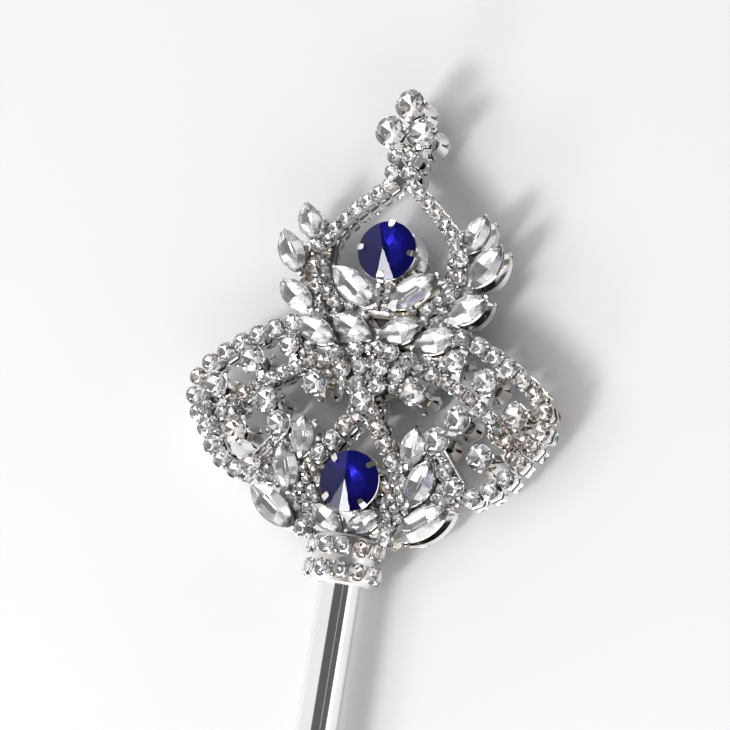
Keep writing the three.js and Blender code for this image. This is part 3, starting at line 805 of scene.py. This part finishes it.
DISH_RADIUS, CLAW_THICKNESS = 7.35, 0.4
dish_profile = [(0, 0.82), (5.0, 0.82), (5.5, 1.0), (DISH_RADIUS - 0.15, 4.1), (DISH_RADIUS, 4.4),
                (DISH_RADIUS, 4.75), (DISH_RADIUS - 0.1, 4.86), (DISH_RADIUS - 0.3, 4.86),
                (DISH_RADIUS - 0.38, 4.7), (DISH_RADIUS - 0.38, 4.5), (5.2, 1.5), (0, 1.5)]
CLAW_TURNS = {"lower": radians(41), "upper": radians(-3)}
# A claw is a flat strip of plated sheet with a rounded end, bent twice.
tab = bmesh.new()
add_copy(tab, claw(DISH_RADIUS + 0.12, 1.4, 1.3, -0.05, 2.0, CLAW_THICKNESS,
                   ((0.45, 1), (0.55, 0.95))), Matrix.Identity(4))
tip = min(tab.faces, key=lambda face: face.calc_center_median().x)
corners = [edge for edge in tip.edges if edge.calc_length() < CLAW_THICKNESS * 1.5]
bmesh.ops.bevel(tab, geom=corners, offset=0.5, offset_type="OFFSET", segments=4, profile=0.5,
                affect="EDGES", material=-1)
long_claw = as_pattern(tab, "long_claw_pattern")
for face, turned in FACES.items():
    for tier, y in (("lower", LOWER_BLUE), ("upper", UPPER_BLUE)):
        sides = BLUE_SIDES[tier]
        stone = bmesh.new()
        bmesh.ops.create_cone(stone, cap_ends=True, segments=sides, radius2=0,
                              radius1=BLUE_RADIUS / cos(pi / sides), depth=BLUE_TOP - BLUE_GIRDLE)
        bmesh.ops.translate(stone, vec=(0, 0, (BLUE_TOP + BLUE_GIRDLE) / 2), verts=stone.verts)
        base = min(stone.faces, key=lambda f: f.calc_center_median().z)
        girdle = bmesh.ops.extrude_discrete_faces(stone, faces=[base])["faces"][0]
        bmesh.ops.translate(stone, vec=(0, 0, -BLUE_BAND), verts=girdle.verts)
        point = bmesh.ops.poke(stone, faces=[girdle])["verts"][0]
        point.co.z = BLUE_POINT
        bmesh.ops.remove_doubles(stone, verts=stone.verts, dist=1e-5)
        # The girdle is ground round, so its line rises and falls a little from facet to facet.
        corner = max(stone.verts, key=lambda vert: hypot(vert.co.x, vert.co.y)).co
        start = atan2(corner.y, corner.x)
        for k in range(4 * sides):
            angle = start + (k + 0.5) / (4 * sides) * tau
            out = Vector((cos(angle), sin(angle), 0))
            ground(stone, out, out * BLUE_RADIUS)
        bmesh.ops.recalc_face_normals(stone, faces=stone.faces)
        for facet in stone.faces:
            facet.material_index = ON_FOIL if facet.normal.z < -0.2 else ON_CRYSTAL
        place = on_row @ turned @ Matrix.Translation((0, y, 0))
        stone.transform(place @ Matrix.Rotation(BLUE_TURNS[tier] + pi / sides - start, 4, "Z"))
        finished(stone, f"blue_{tier}_cone_{face}", [blue_glass, blue_foil], "blue_stone",
                 [f"blue_{tier}_{face}"])
        dish = spun(dish_profile, 64)
        for k in range(4):
            add_copy(dish, long_claw, Matrix.Translation((0, 0, BLUE_GIRDLE)) @
                     Matrix.Rotation(CLAW_TURNS[tier] + k * pi / 2, 4, "Z"))
        dish.transform(place)
        finished(dish, f"blue_{tier}_dish_{face}", [cup_silver], "silver", smooth=35)


# Studio: a plain pale floor in a dim room. A wide white cloth stands on the left up to
# overhead, strips of it close the other sides, and a few lamps draw the bright facets.
floor_shape = bmesh.new()
bmesh.ops.create_grid(floor_shape, x_segments=1, y_segments=1, size=3)
floor_mesh = bpy.data.meshes.new("floor")
floor_shape.to_mesh(floor_mesh)
floor_shape.free()
floor_finish = bpy.data.materials.new("pale_floor")
floor_finish.use_nodes = True
floor_shader = floor_finish.node_tree.nodes["Principled BSDF"]
floor_shader.inputs["Base Color"].default_value = (0.8, 0.8, 0.81, 1)
floor_shader.inputs["Roughness"].default_value = 0.7
floor_mesh.materials.append(floor_finish)
floor = bpy.data.objects.new("floor", floor_mesh)
bpy.context.scene.collection.objects.link(floor)

room = bpy.data.worlds.new("room")
room.use_nodes = True
room.node_tree.nodes["Background"].inputs["Color"].default_value = (0.95, 0.97, 1.0, 1)
room.node_tree.nodes["Background"].inputs["Strength"].default_value = 0.12
bpy.context.scene.world = room


def soft_light(name, direction, reach, width, height, radiance, colour=(1, 1, 1)):
    """A rectangle of light in metres, as far as its reach from the head and facing it."""
    lamp_data = bpy.data.lights.new(name, "AREA")
    lamp_data.shape = "RECTANGLE"
    lamp_data.size, lamp_data.size_y = width, height
    lamp_data.energy = radiance * width * height * pi
    lamp_data.color = colour
    lamp = bpy.data.objects.new(name, lamp_data)
    bpy.context.scene.collection.objects.link(lamp)
    aim = Vector(direction).normalized()
    target = on_row @ Vector((0, 60, 0))
    lamp.matrix_world = Matrix.Translation(target + aim * reach) @ \
        aim.to_track_quat("Z", "Y").to_matrix().to_4x4()
    return lamp


soft_light("tent", (-0.76, 0.08, 0.64), 1.3, 2.3, 2.3, 0.78)
soft_light("key", (-0.37, -0.6, 0.71), 2.5, 0.5, 0.5, 29)
soft_light("upper_key", (-0.28, -0.51, 0.81), 2.5, 0.34, 0.34, 21)
soft_light("glow", (-0.71, -0.22, 0.67), 2.5, 0.36, 0.36, 8)
soft_light("fringe", (-0.6, -0.5, 0.63), 2.5, 0.56, 0.56, 4.5)
soft_light("low", (-0.36, -0.86, 0.37), 2.0, 0.4, 0.4, 14)
soft_light("side", (0.97, -0.1, 0.15), 1.1, 1.4, 0.4, 1.6)
soft_light("front", (0.3, -0.86, 0.42), 1.2, 1.6, 0.9, 2.2, (1, 0.94, 0.9))
soft_light("back", (-0.1, 0.97, 0.2), 1.2, 2.0, 0.4, 2.6)
soft_light("strip", (0.62, -0.1, 0.78), 1.2, 1.4, 0.06, 0.45)
